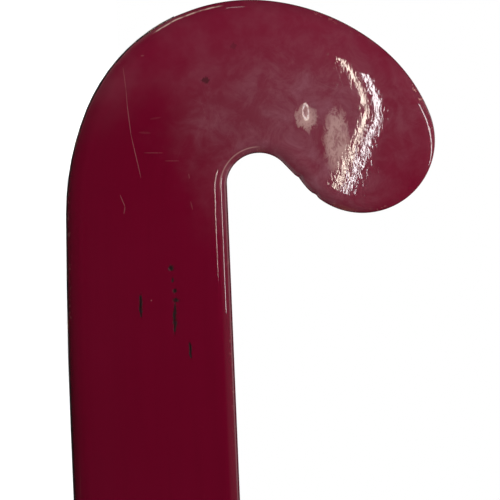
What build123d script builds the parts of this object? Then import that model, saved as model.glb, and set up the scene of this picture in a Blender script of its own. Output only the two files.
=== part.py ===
"""Horn toboggan: two lacquered plank runners that curl back into hand horns, joined by
crossbars with wedged through tenons, under a slatted deck, on steel shoes let into the soles.

Millimetres. +X is forward, +Y is the rider's left, +Z is up.
The origin is on the ground, in the middle of the overall length and width.
"""

import os
from math import radians, sin, tan

from build123d import *

# ---- driving sizes --------------------------------------------------------------------

LENGTH = 1120  # nose of the horns to the tail
WIDTH = 340  # over the runners' outer faces

RUNNER_THICKNESS = 28
RUNNER_DEPTH = 100  # height of the plank, sole to top edge
EDGE_ROUND = 9  # rounding of the runners' long edges
TAIL_RADIUS = 60  # the sole turns up at the tail
TAIL_TOP_RADIUS = 18

# The horn's outer edge is tangent arcs, from the flat sole up the nose, over the crown and
# round the knob. Each is (radius, degrees turned). The three bends state their radius at the
# plank's top edge, and its depth is added to get to the outer edge.
LIFT_ARC = (3400, 2.2)
RISE_BEND = (67, 22.5)
NOSE_BEND = (7, 73.7)
CROWN_BEND = (30, 31.5)
SHOULDER_ARC = (100, 30.8)
KNOB_ARC = (44, 157.4)
THROAT_RADIUS = 20  # between the knob's underside and the runner's top edge
SWELL_RADIUS = 36  # the head is carved fuller on both faces, as a shallow dome
SWELL_HEIGHT = 2.5
SWELL_OFFSET = (18, -13)  # from the knob's centre to the dome's, forwards and up

CROSSBAR_WIDTH = 46  # along the toboggan
CROSSBAR_HEIGHT = 38
CROSSBAR_CHAMFER = 3
TENON_WIDTH = 30
TENON_HEIGHT = 20
TENON_COVER = 12  # wood left above the tenon
TENON_PROUD = 1  # how far the tenon and its wedge stand out of the runner
TENON_END_CHAMFER = 0.6
WEDGE_DEPTH = 22
WEDGE_THICK_END = 3.2
WEDGE_THIN_END = 1

DECK_SETBACK = 320  # nose to the deck's front end
DECK_TAIL_GAP = 12  # the deck stops short of the tail
FRONT_CROSSBAR_INSET = 45  # deck's front end to the front crossbar's middle
REAR_CROSSBAR_INSET = 62
SLAT_COUNT = 7
SLAT_WIDTH = 40
SLAT_THICKNESS = 14
SLAT_ROUND = 3
SLAT_CORNER_RADIUS = 9

SHOE_WIDTH = 14
SHOE_THICKNESS = 3
SHOE_PROUD = 0.5  # how far the shoe stands out of the sole
SHOE_NOSE_TURN = 42  # degrees of the nose arc that the shoe covers
SHOE_TAIL_TURN = 55
SHOE_SCREW_COUNT = 7
SHOE_SCREW_END_GAP = 16  # shoe's end to the first screw, along the shoe

BRACKET_WIDTH = 20
BRACKET_THICKNESS = 3
BRACKET_LEG = 46
BRACKET_BEND = 5  # inside radius
BRACKET_CORNER_RADIUS = 6
BRACKET_HOLES = (18, 36)  # from the outside of the bend, along each leg

# Countersunk slotted screws: (shank diameter, head diameter, length)
SLAT_SCREW = (4.2, 8.4, 32)
SHOE_SCREW = (3.5, 7, 18)
BRACKET_SCREW = (4, 7.6, 14)
SLOT_WIDTH = 0.9
SLOT_DEPTH = 0.9
OUTER_SLAT_SCREW_OFFSET = 36  # these go into the runner, on both sides of the tenon

EYE_SPACING = 150  # between the two tow eyes
EYE_WIRE = 6
EYE_BORE = 14
EYE_NECK = 3  # from the washer to the eye
EYE_HOLE_CLEARANCE = 0.2  # around the shank
EYE_SHANK_END = 2  # shank showing past the nut
WASHER_DIAMETER = 18
WASHER_THICKNESS = 1.5
NUT_ACROSS_FLATS = 10
NUT_THICKNESS = 5
RING_WIRE = 6
RING_BORE = 34
RING_CLEARANCE = 0.3  # between the ring and the eye that it hangs in

# ---- what follows from them -----------------------------------------------------------

sole_z = SHOE_PROUD
top_z = sole_z + RUNNER_DEPTH
nose_x = LENGTH / 2
tail_x = -LENGTH / 2
bends = [(RUNNER_DEPTH + inside, turn) for inside, turn in (RISE_BEND, NOSE_BEND, CROWN_BEND)]
rise_arc, nose_arc, crown_arc = bends
inner_y = WIDTH / 2 - RUNNER_THICKNESS
runner_middle_y = WIDTH / 2 - RUNNER_THICKNESS / 2

deck_front_x = nose_x - DECK_SETBACK
deck_rear_x = tail_x + DECK_TAIL_GAP
deck_top_z = top_z + SLAT_THICKNESS
slat_pitch = (WIDTH - SLAT_WIDTH) / (SLAT_COUNT - 1)
slat_ys = [WIDTH / 2 - SLAT_WIDTH / 2 - i * slat_pitch for i in range(SLAT_COUNT)]

front_crossbar_x = deck_front_x - FRONT_CROSSBAR_INSET
rear_crossbar_x = deck_rear_x + REAR_CROSSBAR_INSET
crossbar_xs = {
    "front": front_crossbar_x,
    "middle": (front_crossbar_x + rear_crossbar_x) / 2,
    "rear": rear_crossbar_x,
}
crossbar_bottom_z = top_z - CROSSBAR_HEIGHT
tenon_z = top_z - TENON_COVER - TENON_HEIGHT / 2
tenon_end_y = WIDTH / 2 + TENON_PROUD

eye_z = top_z - CROSSBAR_HEIGHT / 2
eye_face_x = front_crossbar_x + CROSSBAR_WIDTH / 2
eye_back_x = front_crossbar_x - CROSSBAR_WIDTH / 2
nut_x = eye_back_x - WASHER_THICKNESS - NUT_THICKNESS
eye_radius = (EYE_BORE + EYE_WIRE) / 2
eye_x = eye_face_x + WASHER_THICKNESS + EYE_NECK + EYE_WIRE / 2 + eye_radius
ring_radius = (RING_BORE + RING_WIRE) / 2
ring_drop = EYE_BORE / 2 - RING_WIRE / 2 - RING_CLEARANCE + ring_radius

SIDES = {"left": 1, "right": -1}


def nose_reach():
    """Length from the end of the flat sole to the foremost point of the horn."""
    reach = 0
    heading = 0
    for radius, turn in (LIFT_ARC, rise_arc):
        reach += radius * (sin(radians(heading + turn)) - sin(radians(heading)))
        heading += turn
    return reach + nose_arc[0] * (1 - sin(radians(heading)))


lift_x = nose_x - nose_reach()


def save(part, name):
    """Labels a finished piece and writes it as parts/NAME.step."""
    part.label = name
    export_step(part, f"parts/{name}.step")


def group(shapes):
    """Separate solids, such as the screws of one row, as one part."""
    with BuildPart() as together:
        for shape in shapes:
            add(shape)
    return together.part


def eye_planes(x):
    """Planes across both tow eyes' shanks, facing forwards."""
    return [Plane((x, side * EYE_SPACING / 2, eye_z), z_dir=(1, 0, 0)) for side in SIDES.values()]


def side_plane(y):
    """The plane at that Y whose own x and y are the toboggan's X and Z."""
    return Plane(origin=(0, y, 0), x_dir=(1, 0, 0), z_dir=(0, -1, 0))


# ---- screws ---------------------------------------------------------------------------


def countersunk(size):
    """A countersunk screw that points down from the origin, with no slot. Also its hole."""
    shank, head, length = size
    cone = (head - shank) / 2
    with BuildPart() as body:
        with BuildSketch(Plane.XZ):
            Polygon(
                (0, 0),
                (head / 2, 0),
                (shank / 2, -cone),
                (shank / 2, shank - length),
                (0, -length),
                align=None,
            )
        revolve(axis=Axis.Z)
    return body.part


def repeated(piece, planes):
    """That piece on each plane, its own Z along the plane's."""
    with BuildPart() as row:
        with Locations(*planes):
            add(piece)
    return row.part


def screw_holes(size, planes):
    """What such screws take out of the wood and steel."""
    return repeated(countersunk(size), planes)


def screws(size, planes):
    """Slotted countersunk screws, each head's top at its plane's origin."""
    body = countersunk(size)
    head = size[1]
    with BuildPart() as screw:
        add(body)
        Box(head, SLOT_WIDTH, 2 * SLOT_DEPTH, mode=Mode.SUBTRACT)
    return repeated(screw.part, planes)


def slat_screw_planes(x):
    """Screws through the deck at one crossbar: inner slats into it, outer ones beside it."""
    points = [(x, y) for y in slat_ys[1:-1]]
    for side in SIDES.values():
        for step in (-OUTER_SLAT_SCREW_OFFSET, OUTER_SLAT_SCREW_OFFSET):
            points.append((x + step, side * runner_middle_y))
    return [Plane((*point, deck_top_z)) for point in points]


def bracket_screw_planes(x, side):
    """Screws of one bracket: two into the runner and two up into the crossbar."""
    planes = []
    for reach in BRACKET_HOLES:
        on_runner = (x, side * (inner_y - BRACKET_THICKNESS), crossbar_bottom_z - reach)
        on_crossbar = (x, side * (inner_y - reach), crossbar_bottom_z - BRACKET_THICKNESS)
        planes.append(Plane(on_runner, x_dir=(1, 0, 0), z_dir=(0, -side, 0)))
        planes.append(Plane(on_crossbar, x_dir=(1, 0, 0), z_dir=(0, 0, -1)))
    return planes


# ---- runners and their shoes ----------------------------------------------------------


def add_arcs(edge, arcs, inset=0):
    """Follows an edge with tangent arcs, each inset from its radius, and returns the last."""
    for radius, turn in arcs:
        edge = JernArc(start=edge @ 1, tangent=edge % 1, radius=radius - inset, arc_size=turn)
    return edge


def shoe_line():
    """The shoe's middle line on a side plane, from its rear end to its front end."""
    inset = SHOE_THICKNESS / 2 - SHOE_PROUD
    with BuildLine() as line:
        tail = CenterArc(
            center=(tail_x + TAIL_RADIUS, sole_z + TAIL_RADIUS),
            radius=TAIL_RADIUS - inset,
            start_angle=270 - SHOE_TAIL_TURN,
            arc_size=SHOE_TAIL_TURN,
        )
        sole = Line(tail @ 1, (lift_x, sole_z + inset))
        add_arcs(sole, (LIFT_ARC, rise_arc, (nose_arc[0], SHOE_NOSE_TURN)), inset)
    return line.wire()


def shoe_band(side):
    """The shoe as a plain strip, which is also what is cut from the sole for it."""
    with BuildPart() as band:
        with BuildSketch(side_plane(side * runner_middle_y)):
            trace(shoe_line(), SHOE_THICKNESS)
        extrude(amount=SHOE_WIDTH / 2, both=True)
    return band.part


def shoe_screw_planes(side):
    """Screws up through the shoe, evenly spaced along it and square to it."""
    line = shoe_line()
    first = SHOE_SCREW_END_GAP / line.length
    pitch = (1 - 2 * first) / (SHOE_SCREW_COUNT - 1)
    planes = []
    for i in range(SHOE_SCREW_COUNT):
        at = line @ (first + i * pitch)
        along = line % (first + i * pitch)
        outward = Vector(along.Y, 0, -along.X)
        middle = Vector(at.X, side * runner_middle_y, at.Y)
        planes.append(Plane(middle + outward * (SHOE_THICKNESS / 2), (0, 1, 0), outward))
    return planes


def swell():
    """A lens that stands out of both faces of a runner, centred on the origin, along Z."""
    reach = RUNNER_THICKNESS / 2 + SWELL_HEIGHT
    dome_radius = (SWELL_RADIUS**2 + SWELL_HEIGHT**2) / (2 * SWELL_HEIGHT)
    with BuildPart() as lens:
        Cylinder(SWELL_RADIUS, 2 * reach)
        for side in SIDES.values():
            with Locations((0, 0, side * (reach - dome_radius))):
                Sphere(dome_radius, mode=Mode.INTERSECT)
    return lens.part


def runner_blank(side):
    """A runner's plank with its horn, before any joint is cut."""
    lens = swell()
    horn_arcs = (LIFT_ARC, rise_arc, nose_arc, crown_arc, SHOULDER_ARC, KNOB_ARC)
    knob_heading = sum(turn for _, turn in horn_arcs)
    throat_slope = radians(360 - knob_heading)
    throat_turn = knob_heading - 180
    throat_tangent = THROAT_RADIUS * tan(radians(throat_turn / 2))
    with BuildPart() as blank:
        with BuildSketch(side_plane(side * WIDTH / 2)):
            with BuildLine():
                sole = Line((tail_x, sole_z), (lift_x, sole_z))
                knob = add_arcs(sole, horn_arcs)
                fall = (knob @ 1).Y - top_z
                underside = PolarLine(
                    knob @ 1, fall / sin(throat_slope) - throat_tangent, knob_heading
                )
                throat = JernArc(underside @ 1, underside % 1, THROAT_RADIUS, -throat_turn)
                Polyline(throat @ 1, (tail_x, top_z), sole @ 0)
            make_face()
            fillet(vertices().sort_by_distance((tail_x, top_z))[0], TAIL_TOP_RADIUS)
            fillet(vertices().sort_by_distance((tail_x, sole_z))[0], TAIL_RADIUS)
        extrude(amount=side * RUNNER_THICKNESS)
        fillet(faces().filter_by(Plane.XZ).edges(), EDGE_ROUND)
        knob_middle = knob.arc_center
        swell_x = knob_middle.X + SWELL_OFFSET[0]
        swell_z = knob_middle.Y + SWELL_OFFSET[1]
        with Locations(Plane((swell_x, side * runner_middle_y, swell_z), z_dir=(0, 1, 0))):
            add(lens)
    return blank.part


def runner(side):
    """A finished runner: shoe groove, mortises and screw holes cut."""
    blank = runner_blank(side)
    cuts = [shoe_band(side), screw_holes(SHOE_SCREW, shoe_screw_planes(side))]
    for x in crossbar_xs.values():
        cuts.append(screw_holes(BRACKET_SCREW, bracket_screw_planes(x, side)))
        cuts.append(screw_holes(SLAT_SCREW, slat_screw_planes(x)))
    with BuildPart() as plank:
        add(blank)
        with Locations([(x, side * runner_middle_y, tenon_z) for x in crossbar_xs.values()]):
            Box(TENON_WIDTH, RUNNER_THICKNESS, TENON_HEIGHT, mode=Mode.SUBTRACT)
        add(cuts, mode=Mode.SUBTRACT)
    return plank.part


def shoe(side):
    """A steel strip along the sole, countersunk for its screws."""
    band = shoe_band(side)
    holes = screw_holes(SHOE_SCREW, shoe_screw_planes(side))
    with BuildPart() as strip:
        add(band)
        add(holes, mode=Mode.SUBTRACT)
    return strip.part


# ---- crossbars ------------------------------------------------------------------------


def wedge(x, side):
    """A wedge driven into a tenon's end, thick end outwards, spreading it along the grain."""
    outer_y = side * tenon_end_y
    inner_end_y = outer_y - side * WEDGE_DEPTH
    with BuildPart() as driven:
        with BuildSketch(Plane.XY.offset(tenon_z - TENON_HEIGHT / 2)):
            Polygon(
                (x - WEDGE_THICK_END / 2, outer_y),
                (x + WEDGE_THICK_END / 2, outer_y),
                (x + WEDGE_THIN_END / 2, inner_end_y),
                (x - WEDGE_THIN_END / 2, inner_end_y),
                align=None,
            )
        extrude(amount=TENON_HEIGHT)
    return driven.part


def crossbar(name):
    """A crossbar with a through tenon at each end, slit for its wedges."""
    x = crossbar_xs[name]
    cuts = [screw_holes(SLAT_SCREW, slat_screw_planes(x))]
    for side in SIDES.values():
        cuts.append(wedge(x, side))
        cuts.append(screw_holes(BRACKET_SCREW, bracket_screw_planes(x, side)))
    with BuildPart() as bar:
        with Locations((x, 0, top_z - CROSSBAR_HEIGHT / 2)):
            Box(CROSSBAR_WIDTH, 2 * inner_y, CROSSBAR_HEIGHT)
        chamfer(edges().filter_by(Axis.Y), CROSSBAR_CHAMFER)
        with Locations((x, 0, tenon_z)):
            Box(TENON_WIDTH, 2 * tenon_end_y, TENON_HEIGHT)
        tenon_ends = faces().sort_by(Axis.Y)
        chamfer(tenon_ends[0].edges() + tenon_ends[-1].edges(), TENON_END_CHAMFER)
        add(cuts, mode=Mode.SUBTRACT)
        if name == "front":
            with Locations(*eye_planes(x)):
                Hole(EYE_WIRE / 2 + EYE_HOLE_CLEARANCE)
    return bar.part


def bracket(x, side):
    """A bent steel bracket in the corner under a crossbar."""
    corner_y = side * (inner_y - BRACKET_THICKNESS / 2)
    corner_z = crossbar_bottom_z - BRACKET_THICKNESS / 2
    holes = screw_holes(BRACKET_SCREW, bracket_screw_planes(x, side))
    with BuildPart() as angle:
        with BuildSketch(Plane((x, 0, 0), x_dir=(0, 1, 0), z_dir=(1, 0, 0))):
            with BuildLine() as bend:
                FilletPolyline(
                    (corner_y, crossbar_bottom_z - BRACKET_LEG),
                    (corner_y, corner_z),
                    (side * (inner_y - BRACKET_LEG), corner_z),
                    radius=BRACKET_BEND + BRACKET_THICKNESS / 2,
                )
            trace(bend.line, BRACKET_THICKNESS)
        extrude(amount=BRACKET_WIDTH / 2, both=True)
        lower_corners = edges().filter_by(Axis.Y).sort_by(Axis.Z)[:2]
        inner_corners = edges().filter_by(Axis.Z).sort_by(Axis.Y, reverse=side < 0)[:2]
        fillet(lower_corners + inner_corners, BRACKET_CORNER_RADIUS)
        add(holes, mode=Mode.SUBTRACT)
    return angle.part


# ---- deck -----------------------------------------------------------------------------


def slat(y):
    """One deck slat, rounded on its upper edges and countersunk for its screws."""
    middle = ((deck_front_x + deck_rear_x) / 2, y)
    holes = [screw_holes(SLAT_SCREW, slat_screw_planes(x)) for x in crossbar_xs.values()]
    with BuildPart() as board:
        with BuildSketch(Plane.XY.offset(top_z)):
            with Locations(middle):
                RectangleRounded(deck_front_x - deck_rear_x, SLAT_WIDTH, SLAT_CORNER_RADIUS)
        extrude(amount=SLAT_THICKNESS)
        fillet(faces().sort_by(Axis.Z)[-1].edges(), SLAT_ROUND)
        add(holes, mode=Mode.SUBTRACT)
    return board.part


# ---- tow eyes and rings ---------------------------------------------------------------


def tow_eye(side):
    """An eye bolt through the front crossbar."""
    y = side * EYE_SPACING / 2
    shank_back_x = nut_x - EYE_SHANK_END
    shank_front_x = eye_x - eye_radius
    with BuildPart() as eye:
        with Locations(Plane((eye_x, y, eye_z), z_dir=(0, 1, 0))):
            Torus(eye_radius, EYE_WIRE / 2)
        with BuildSketch(Plane((shank_back_x, y, eye_z), z_dir=(1, 0, 0))):
            Circle(EYE_WIRE / 2)
        extrude(amount=shank_front_x - shank_back_x)
    return eye.part


def washers():
    """A washer on each shank, in front of the crossbar and behind it."""
    with BuildPart() as rings:
        with BuildSketch(*eye_planes(eye_face_x), *eye_planes(eye_back_x - WASHER_THICKNESS)):
            Circle(WASHER_DIAMETER / 2)
            Circle(EYE_WIRE / 2, mode=Mode.SUBTRACT)
        extrude(amount=WASHER_THICKNESS)
    return rings.part


def nuts():
    """A hexagon nut on each shank, behind its washer."""
    with BuildPart() as hexagons:
        with BuildSketch(*eye_planes(nut_x)):
            RegularPolygon(NUT_ACROSS_FLATS / 2, 6, major_radius=False)
            Circle(EYE_WIRE / 2, mode=Mode.SUBTRACT)
        extrude(amount=NUT_THICKNESS)
    return hexagons.part


def tow_ring(side):
    """A closed ring that hangs in its tow eye."""
    with BuildPart() as ring:
        hanging = (eye_x, side * EYE_SPACING / 2, eye_z - ring_drop)
        with Locations(Plane(hanging, z_dir=(1, 0, 0))):
            Torus(ring_radius, RING_WIRE / 2)
    return ring.part


# ---- the toboggan ---------------------------------------------------------------------

os.makedirs("parts", exist_ok=True)

for hand, side in SIDES.items():
    save(runner(side), f"runner_{hand}")
    save(shoe(side), f"shoe_{hand}")
    save(screws(SHOE_SCREW, shoe_screw_planes(side)), f"shoe_screws_{hand}")
    save(tow_eye(side), f"tow_eye_{hand}")
    save(tow_ring(side), f"tow_ring_{hand}")

for name, x in crossbar_xs.items():
    save(crossbar(name), f"crossbar_{name}")
    save(group(wedge(x, side) for side in SIDES.values()), f"tenon_wedges_{name}")
    save(screws(SLAT_SCREW, slat_screw_planes(x)), f"slat_screws_{name}")
    bracket_planes = []
    for hand, side in SIDES.items():
        save(bracket(x, side), f"bracket_{name}_{hand}")
        bracket_planes += bracket_screw_planes(x, side)
    save(screws(BRACKET_SCREW, bracket_planes), f"bracket_screws_{name}")

for number, y in enumerate(slat_ys, start=1):
    save(slat(y), f"slat_{number}")

save(washers(), "eye_washers")
save(nuts(), "eye_nuts")
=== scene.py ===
"""Horn toboggan: lacquered plank runners, a varnished slat deck and steel fittings.

Metres. +X is forward, +Y is the rider's left, +Z is up, as in the CAD model.
"""

from math import cos, pi, radians, sin, tan

import bmesh
import bpy
import numpy as np
from mathutils import Matrix, Vector, noise


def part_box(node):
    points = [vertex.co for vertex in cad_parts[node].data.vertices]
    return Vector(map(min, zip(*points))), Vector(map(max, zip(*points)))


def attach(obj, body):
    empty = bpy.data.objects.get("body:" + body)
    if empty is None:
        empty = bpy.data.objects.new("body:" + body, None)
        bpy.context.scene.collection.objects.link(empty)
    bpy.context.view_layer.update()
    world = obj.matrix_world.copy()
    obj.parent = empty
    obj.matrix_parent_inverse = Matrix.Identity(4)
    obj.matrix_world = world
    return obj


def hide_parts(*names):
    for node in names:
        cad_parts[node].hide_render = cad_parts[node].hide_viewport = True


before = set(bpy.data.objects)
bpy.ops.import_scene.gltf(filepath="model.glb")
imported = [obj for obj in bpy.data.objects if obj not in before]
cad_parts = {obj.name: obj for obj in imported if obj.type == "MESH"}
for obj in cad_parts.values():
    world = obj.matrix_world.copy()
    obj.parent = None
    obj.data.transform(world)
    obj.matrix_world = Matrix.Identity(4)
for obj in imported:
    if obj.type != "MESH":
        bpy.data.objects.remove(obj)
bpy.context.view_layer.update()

SLED = "sled"
SIDES = {"left": 1, "right": -1}
BARS = ("front", "middle", "rear")

# ---- the runner's sizes, as in the CAD model --------------------------------------------

PLANK_THICKNESS = 0.028
PLANK_DEPTH = 0.100
EDGE_ROUND = 0.009
SOLE_Z = 0.0005
TAIL_RADIUS = 0.060
TAIL_TOP_RADIUS = 0.018
HORN_ARCS = (  # (radius, degrees turned): lift, rise, nose, crown, shoulder
    (3.4, 2.2),
    (0.167, 22.5),
    (0.107, 73.7),
    (0.130, 31.5),
    (0.100, 30.8),
)
KNOB_RADIUS = 0.044
KNOB_TURN = 157.4
THROAT_RADIUS = 0.020
SWELL_HEIGHT = 0.0025
RIDGE_PEAK = (0.488, 0.194)  # forward, up: the highest point of the dome's ridge line
RIDGE_SET_BACK = 0.022  # the dome starts to fall this far below the ridge line
DOME_CURVATURE = 3.5  # per metre
KNOCKS = (  # dents in the edges: (forward, up), reach, depth
    ((0.4506, 0.1453), 0.0022, 0.0009),
    ((0.4440, 0.1500), 0.0030, -0.0003),
    ((0.4399, 0.1545), 0.0016, 0.0008),
    ((0.5354, 0.0457), 0.0040, -0.0003),
    ((0.5494, 0.0736), 0.0040, -0.0003),
    ((0.5120, 0.0240), 0.0060, 0.0003),
)

runner_low, runner_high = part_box("runner_left")
TAIL_X = runner_low.x
NOSE_X = runner_high.x
TOP_Z = SOLE_Z + PLANK_DEPTH
HALF_THICKNESS = PLANK_THICKNESS / 2
OUTER_Y = runner_high.y - SWELL_HEIGHT
RUNNER_Y = OUTER_Y - HALF_THICKNESS

ACROSS_STEPS = 40  # over each face
ROUND_STEPS = 8  # over each rounded edge
round_turns = np.linspace(0, pi / 2, ROUND_STEPS + 1)
ROUND_DEPTHS = EDGE_ROUND * (1 - np.cos(round_turns))
ROUND_RISES = HALF_THICKNESS - EDGE_ROUND + EDGE_ROUND * np.sin(round_turns)
WAVE_HEIGHT = 0.00012  # unevenness of the planed faces
WAVE_SIZE = 0.07

# ---- the deck's and the fittings' places and sizes --------------------------------------

bar_places = {}
for bar in BARS:
    bar_low, bar_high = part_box(f"crossbar_{bar}")
    bar_places[bar] = (bar_low.x + bar_high.x) / 2
slat_places = {}
for number in range(1, 8):
    slat_low, slat_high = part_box(f"slat_{number}")
    slat_places[number] = (slat_low.y + slat_high.y) / 2
SLAT_PITCH = slat_places[1] - slat_places[2]
DECK_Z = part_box("slat_4")[1].z

DECK_SCREW = (0.0042, 0.0084, 0.032)  # shank, head, length
SHOE_SCREW = (0.0035, 0.0070, 0.018)
BRACKET_SCREW = (0.0040, 0.0076, 0.014)
SLOT_SIZE = 0.0009
OUTER_SCREW_STEP = 0.036  # from a crossbar's middle to the outer slats' screws
OUTER_SLAT_FROM = 0.125
BRACKET_HOLES = (0.018, 0.036)  # from the bend
BRACKET_PLATE = 0.003
SHOE_PROUD = 0.0005
SHOE_END_GAP = 0.016
SHOE_SCREW_COUNT = 7
SHOE_NOSE_TURN = 42  # degrees that the shoe follows the nose and the tail round
SHOE_TAIL_TURN = 55


# ---- camera, light and floor ------------------------------------------------------------

VIEW_DISTANCE = 8.0
VIEW_WIDTH = 0.303
VIEW_ROLL = radians(2.37)  # the toboggan's forward direction leans left of straight up
VIEW_CENTRE = Vector((NOSE_X - 0.1517, OUTER_Y, 0.1132))
EYE_AHEAD = 0.091  # the eye is level with the throat of the horn, so one horn hides the other
EYE_DROP = 0.0023
WINDOW_GAP = 0.3  # from the left runner's face to the two narrow windows
FLOOR_RADIUS = 4.0


def new_object(name, data):
    """An object in the scene's collection, at the origin."""
    added = bpy.data.objects.new(name, data)
    bpy.context.collection.objects.link(added)
    return added


def make_camera():
    """A long lens square to the left runner's face, with forward upwards in the picture."""
    lens = bpy.data.cameras.new("camera")
    camera = new_object("camera", lens)
    lens.sensor_width = 36
    lens.lens = lens.sensor_width * VIEW_DISTANCE / VIEW_WIDTH
    lens.clip_end = 60
    camera.location = VIEW_CENTRE + Vector((EYE_AHEAD, VIEW_DISTANCE, -EYE_DROP))
    back = (camera.location - VIEW_CENTRE).normalized()
    up = Vector((cos(VIEW_ROLL), 0, sin(VIEW_ROLL)))
    right = up.cross(back).normalized()
    up = back.cross(right)
    camera.rotation_euler = Matrix((right, up, back)).transposed().to_euler()
    bpy.context.scene.camera = camera


def area_light(name, location, target, size, radiance, colour=(1, 1, 1), seen_in_gloss=True):
    """A rectangular light of the given radiance; its first size runs along X."""
    lamp = bpy.data.lights.new(name, "AREA")
    lamp.shape = "RECTANGLE"
    lamp.size, lamp.size_y = size
    lamp.energy = radiance * pi * size[0] * size[1]
    lamp.color = colour
    light = new_object(name, lamp)
    light.visible_camera = False
    light.visible_glossy = seen_in_gloss
    back = (Vector(location) - Vector(target)).normalized()
    across = Vector((1, 0, 0)) - back * back.x
    across.normalize()
    light.location = location
    light.rotation_euler = Matrix((across, back.cross(across), back)).transposed().to_euler()
    return light


def make_lights():
    """Two narrow windows and a lamp beside the horn, a softbox overhead and broad fills."""
    head = Vector((0.48, OUTER_Y, 0.18))
    window_y = OUTER_Y + WINDOW_GAP
    warm, cool = (1, 0.91, 0.76), (0.98, 0.98, 1)
    area_light("window_warm", (0.4935, window_y, 0.2190), head, (0.193, 0.0075), 25, warm)
    area_light("window_cool", (0.4745, window_y, 0.2430), head, (0.173, 0.0085), 26, cool)
    area_light("rim_lamp", (0.468, OUTER_Y + 0.06, 0.42), head, (0.205, 0.022), 14)
    area_light("overhead", (0.20, -0.95, 1.35), (0.1, 0, 0.1), (1.7, 0.7), 0.5)
    area_light("nose_light", (1.5, 0.55, 0.03), (0.5, 0.15, 0.1), (0.10, 0.20), 3.5)
    fills = (  # name, location, width, radiance
        ("fill_left", (0.9, 2.6, 1.6), 2.0, 1.15),
        ("fill_top", (-0.6, -0.8, 2.6), 2.0, 1.6),
        ("fill_right", (-0.4, -2.6, 1.2), 1.6, 2.0),
    )
    for name, location, width, radiance in fills:
        area_light(name, location, (0, 0, 0.1), (width, width), radiance, seen_in_gloss=False)


# ---- node recipes -----------------------------------------------------------------------


class Value:
    """A socket in a node recipe. The usual operators on it add Math nodes."""

    def __init__(self, recipe, socket):
        self.recipe = recipe
        self.socket = socket

    def math(self, operation, *others):
        return self.recipe.math(operation, self, *others)

    def __add__(self, other):
        return self.math("ADD", other)

    def __radd__(self, other):
        return self.math("ADD", other)

    def __sub__(self, other):
        return self.math("SUBTRACT", other)

    def __rsub__(self, other):
        return self.recipe.math("SUBTRACT", other, self)

    def __mul__(self, other):
        return self.math("MULTIPLY", other)

    def __rmul__(self, other):
        return self.math("MULTIPLY", other)

    def __truediv__(self, other):
        return self.math("DIVIDE", other)

    def __pow__(self, other):
        return self.math("POWER", other)

    def absolute(self):
        return self.math("ABSOLUTE")

    def clamped(self):
        return self.recipe.node("ShaderNodeClamp", inputs={0: self})

    def above(self, low, high):
        """0 below low, 1 above high, smooth between. With low over high it falls instead."""
        settings = {"interpolation_type": "SMOOTHSTEP"}
        if low > high:
            return 1 - self.above(high, low)
        return self.recipe.node("ShaderNodeMapRange", settings, {0: self, 1: low, 2: high})


class Recipe:
    """A node tree being written, with one method that adds any node."""

    def __init__(self, tree):
        self.tree = tree

    def node(self, kind, settings=None, inputs=None, output=0):
        """Adds a node, its settings first, then its sockets' values or links."""
        node = self.tree.nodes.new(kind)
        for key, value in (settings or {}).items():
            setattr(node, key, value)
        for key, value in (inputs or {}).items():
            if isinstance(value, Value):
                self.tree.links.new(value.socket, node.inputs[key])
            else:
                node.inputs[key].default_value = value
        return Value(self, node.outputs[output]) if node.outputs else node

    def math(self, operation, *values):
        inputs = dict(enumerate(values))
        return self.node("ShaderNodeMath", {"operation": operation}, inputs)


class Finish(Recipe):
    """A material's recipe. Lengths in it are metres on the object."""

    def __init__(self, name):
        self.material = bpy.data.materials.new(name)
        self.material.use_nodes = True
        super().__init__(self.material.node_tree)
        self.tree.nodes.clear()
        self.place = self.node("ShaderNodeTexCoord", output="Object")

    def axes(self, vector=None):
        """The three numbers of a vector, of the place on the object by default."""
        split = self.node("ShaderNodeSeparateXYZ", inputs={0: vector or self.place})
        return [Value(self, socket) for socket in split.socket.node.outputs]

    def vector(self, x, y, z):
        return self.node("ShaderNodeCombineXYZ", inputs={0: x, 1: y, 2: z})

    def stretched(self, scale, offset=(0, 0, 0), vector=None):
        """The place times a scale along each axis, for patterns that run one way."""
        inputs = {0: vector or self.place, 1: offset, 3: scale}
        return self.node("ShaderNodeMapping", inputs=inputs)

    def noise(self, vector, scale=1.0, detail=3.0, roughness=0.5, distortion=0.0):
        """Smooth noise from 0 to 1."""
        inputs = {
            "Vector": vector,
            "Scale": scale,
            "Detail": detail,
            "Roughness": roughness,
            "Distortion": distortion,
        }
        return self.node("ShaderNodeTexNoise", inputs=inputs)

    def mix(self, factor, first, second, blend="MIX"):
        """Mixes two colours."""
        settings = {"data_type": "RGBA", "blend_type": blend, "clamp_factor": True}
        colours = [(*c, 1) if isinstance(c, tuple) else c for c in (first, second)]
        inputs = {0: factor, 6: colours[0], 7: colours[1]}
        return self.node("ShaderNodeMix", settings, inputs, output=2)

    def bump(self, height, depth, normal=None):
        """Height from 0 to 1 as relief that deep, in metres."""
        inputs = {"Height": height, "Distance": depth}
        if normal:
            inputs["Normal"] = normal
        return self.node("ShaderNodeBump", inputs=inputs)

    def surface(self, **sockets):
        """Ends the recipe in a Principled surface, and returns the material."""
        named = {name.replace("_", " "): value for name, value in sockets.items()}
        shader = self.node("ShaderNodeBsdfPrincipled", inputs=named)
        self.node("ShaderNodeOutputMaterial", inputs={0: shader})
        return self.material


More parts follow.
